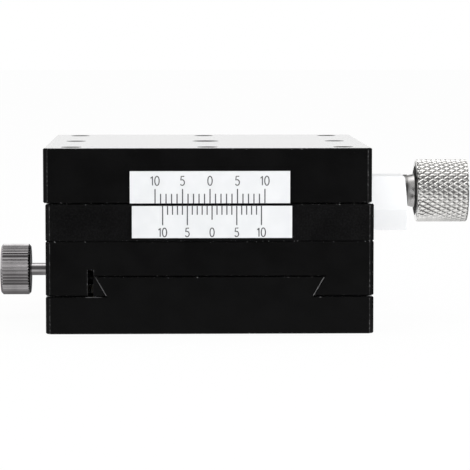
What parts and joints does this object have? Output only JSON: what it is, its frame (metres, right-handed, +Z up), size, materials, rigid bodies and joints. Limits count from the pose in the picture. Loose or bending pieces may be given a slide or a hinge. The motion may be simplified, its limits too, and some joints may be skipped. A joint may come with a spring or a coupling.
{
  "type": "two-axis dovetail slide",
  "caption": "Hand-driven two-axis dovetail slide: two crossed feed-screw stages with gibs, clamp screws, knurled knobs and millimetre scales.",
  "frame": {"origin": "centre of the lower base's bottom face, under the crossing of the two travels", "axes": "+Z up through the stages, +X along the upper travel towards its knob, +Y along the lower travel towards its knob"},
  "size_m": [0.0902, 0.0808, 0.034],
  "materials": {
    "black_anodised": "satin black anodised",
    "bright_aluminium": "satin clear anodised",
    "stainless_steel": "turned and knurled",
    "black_oxide_steel": "black oxide",
    "brass": "machined",
    "bronze": "sintered bronze",
    "scale_white": "white plate",
    "scale_ink": "matte print"
  },
  "bodies": {
    "lower_base": {"lower_base": "black_anodised", "lower_bearing_block": "bright_aluminium", "lower_block_screws": "stainless_steel", "lower_bush": "bronze", "lower_thrust_washer": "stainless_steel", "lower_vernier_scale": "scale_white"},
    "lower_drive": {"lower_feed_screw": "stainless_steel", "lower_knob": "stainless_steel", "lower_knob_set_screw": "black_oxide_steel"},
    "cross_carriage": {"saddle": "black_anodised", "lower_gib": "black_anodised", "lower_gib_set_screws": "black_oxide_steel", "lower_feed_nut": "brass", "lower_nut_screw": "black_oxide_steel", "lower_main_scale": "scale_white", "joining_screws": "black_oxide_steel", "upper_base": "black_anodised", "upper_bearing_block": "bright_aluminium", "upper_block_screws": "stainless_steel", "upper_bush": "bronze", "upper_thrust_washer": "stainless_steel", "upper_vernier_scale": "scale_white"},
    "upper_drive": {"upper_feed_screw": "stainless_steel", "upper_knob": "stainless_steel", "upper_knob_set_screw": "black_oxide_steel"},
    "top_carriage": {"platform": "black_anodised", "upper_gib": "black_anodised", "upper_gib_set_screws": "black_oxide_steel", "upper_feed_nut": "brass", "upper_nut_screw": "black_oxide_steel", "upper_main_scale": "scale_white"},
    "lower_pad": {"lower_clamp_pad": "brass"},
    "lower_clamp": {"lower_clamp_screw": "stainless_steel"},
    "upper_pad": {"upper_clamp_pad": "brass"},
    "upper_clamp": {"upper_clamp_screw": "stainless_steel"}
  },
  "joints": [
    {"name": "lower_knob_turn", "type": "hinge", "parent": "lower_base", "child": "lower_drive", "pos_m": [0, 0.03, 0.00735], "axis": [0, 1, 0], "range_deg": [-3600, 3600]},
    {"name": "lower_table_slide", "type": "slide", "parent": "lower_base", "child": "cross_carriage", "axis": [0, 1, 0], "range_m": [-0.01, 0.01]},
    {"name": "upper_knob_turn", "type": "hinge", "parent": "cross_carriage", "child": "upper_drive", "pos_m": [0.03, 0, 0.02435], "axis": [1, 0, 0], "range_deg": [-3733.2, 3466.8]},
    {"name": "upper_table_slide", "type": "slide", "parent": "cross_carriage", "child": "top_carriage", "axis": [1, 0, 0], "range_m": [-0.00963, 0.01037]},
    {"name": "lower_pad_slide", "type": "slide", "parent": "cross_carriage", "child": "lower_pad", "axis": [-1, 0, 0], "range_m": [0, 0.001]},
    {"name": "lower_clamp_turn", "type": "hinge", "parent": "lower_pad", "child": "lower_clamp", "pos_m": [-0.03, 0, 0.0092], "axis": [-1, 0, 0], "range_deg": [0, 720]},
    {"name": "upper_pad_slide", "type": "slide", "parent": "top_carriage", "child": "upper_pad", "axis": [0, 1, 0], "range_m": [0, 0.001]},
    {"name": "upper_clamp_turn", "type": "hinge", "parent": "upper_pad", "child": "upper_clamp", "pos_m": [-0.00037, 0.03, 0.0262], "axis": [0, 1, 0], "range_deg": [0, 720]}
  ],
  "couplings": [
    {"joint": "lower_knob_turn", "follows": "lower_table_slide", "rad_per_m": -6283.2},
    {"joint": "upper_knob_turn", "follows": "upper_table_slide", "rad_per_m": -6283.2},
    {"joint": "lower_clamp_turn", "follows": "lower_pad_slide", "rad_per_m": 12566},
    {"joint": "upper_clamp_turn", "follows": "upper_pad_slide", "rad_per_m": 12566}
  ]
}
